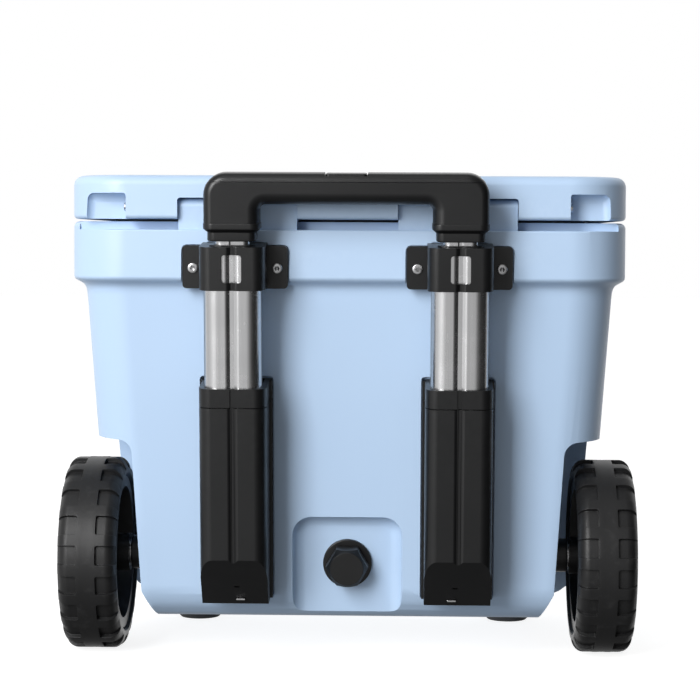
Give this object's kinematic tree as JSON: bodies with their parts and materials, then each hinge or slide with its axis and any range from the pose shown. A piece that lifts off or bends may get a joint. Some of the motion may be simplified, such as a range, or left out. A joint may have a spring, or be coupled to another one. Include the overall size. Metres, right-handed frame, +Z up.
{
  "type": "wheeled hard cooler",
  "caption": "Insulated hard-shell cooler with a hinged lid, two wheels, a telescoping pull handle and a drain plug.",
  "frame": {"origin": "on the floor, under the centre of the cooler's bounding box at rest", "axes": "+Z is up, -Y points out of the back with the handle and wheels, +Y out of the front with the latches, +X to the right seen from behind"},
  "size_m": [0.605, 0.4954, 0.5104],
  "materials": {
    "blue_shell": "satin",
    "white_liner": "satin",
    "foam": "matte",
    "black_plastic": "satin",
    "tread_rubber": "matte",
    "foot_rubber": "matte",
    "seal_rubber": "matte",
    "tube_metal": "satin",
    "steel": "satin",
    "bush_plastic": "satin"
  },
  "bodies": {
    "cooler_body": {"body_shell": "blue_shell", "inner_liner": "white_liner", "body_foam": "foam", "front_feet": "foot_rubber", "foot_screws": "steel", "hinge_pins": "steel", "keepers": "black_plastic", "outer_tube_left": "tube_metal", "outer_tube_right": "tube_metal", "outer_bushes": "black_plastic", "clamp_left": "black_plastic", "clamp_right": "black_plastic", "clamp_screws": "steel", "casing_left": "black_plastic", "casing_right": "black_plastic", "casing_collars": "black_plastic", "axles": "steel", "axle_inserts": "black_plastic", "axle_spacers": "black_plastic", "axle_washers": "steel", "axle_clips": "steel", "drain_fitting": "black_plastic"},
    "lid": {"lid_shell": "blue_shell", "lid_liner": "white_liner", "lid_foam": "foam", "lid_gasket": "seal_rubber", "hinge_bushes": "bush_plastic", "latch_brackets": "black_plastic", "latch_pins": "steel"},
    "latch_l": {"latch_left": "black_plastic"},
    "latch_r": {"latch_right": "black_plastic"},
    "handle_middle": {"middle_tube_left": "tube_metal", "middle_tube_right": "tube_metal", "middle_slippers": "black_plastic", "middle_bushes": "black_plastic"},
    "handle_upper": {"inner_tube_left": "tube_metal", "inner_tube_right": "tube_metal", "inner_slippers": "black_plastic", "lock_plugs": "black_plastic", "lock_pins": "steel", "grip_lower": "black_plastic", "grip_cover": "black_plastic", "grip_collars": "black_plastic", "button_spring": "steel"},
    "release": {"release_button": "black_plastic", "release_rods": "tube_metal"},
    "wheel_l": {"tyre_left": "tread_rubber", "wheel_rim_left": "black_plastic", "wheel_bushes_left": "bush_plastic", "hub_cap_left": "black_plastic"},
    "wheel_r": {"tyre_right": "tread_rubber", "wheel_rim_right": "black_plastic", "wheel_bushes_right": "bush_plastic", "hub_cap_right": "black_plastic"},
    "drain_seal": {"plug_gasket": "seal_rubber"},
    "drain_cap": {"drain_plug": "black_plastic"}
  },
  "joints": [
    {"name": "lid_hinge", "type": "hinge", "parent": "cooler_body", "child": "lid", "pos_m": [0, -0.17435, 0.4755], "axis": [1, 0, 0], "range_deg": [0, 93]},
    {"name": "latch_left_hinge", "type": "hinge", "parent": "lid", "child": "latch_l", "pos_m": [-0.15, 0.22965, 0.49], "axis": [1, 0, 0], "range_deg": [0, 75]},
    {"name": "latch_right_hinge", "type": "hinge", "parent": "lid", "child": "latch_r", "pos_m": [0.15, 0.22965, 0.49], "axis": [1, 0, 0], "range_deg": [0, 75]},
    {"name": "handle_stage_1", "type": "slide", "parent": "cooler_body", "child": "handle_middle", "axis": [0, -0.0958, 0.9954], "range_m": [0, 0.23]},
    {"name": "handle_stage_2", "type": "slide", "parent": "handle_middle", "child": "handle_upper", "axis": [0, -0.0958, 0.9954], "range_m": [0, 0.23]},
    {"name": "release_press", "type": "slide", "parent": "handle_upper", "child": "release", "axis": [0, 0.0958, -0.9954], "range_m": [0, 0.004], "stiffness_N_per_m": 1200, "springref_m": -0.003, "deforming": ["button_spring"]},
    {"name": "wheel_left_spin", "type": "hinge", "parent": "cooler_body", "child": "wheel_l", "pos_m": [-0.2715, -0.08035, 0.1033], "axis": [1, 0, 0], "continuous": true},
    {"name": "wheel_right_spin", "type": "hinge", "parent": "cooler_body", "child": "wheel_r", "pos_m": [0.2715, -0.08035, 0.1033], "axis": [1, 0, 0], "continuous": true},
    {"name": "drain_plug_out", "type": "slide", "parent": "cooler_body", "child": "drain_seal", "axis": [0, -0.9954, -0.0958], "range_m": [0, 0.012]},
    {"name": "drain_plug_turn", "type": "hinge", "parent": "drain_seal", "child": "drain_cap", "pos_m": [0, -0.13483, 0.1013], "axis": [0, -0.9954, -0.0958], "range_deg": [0, 1080]}
  ],
  "couplings": [
    {"joint": "drain_plug_turn", "follows": "drain_plug_out", "rad_per_m": 1570.8}
  ]
}
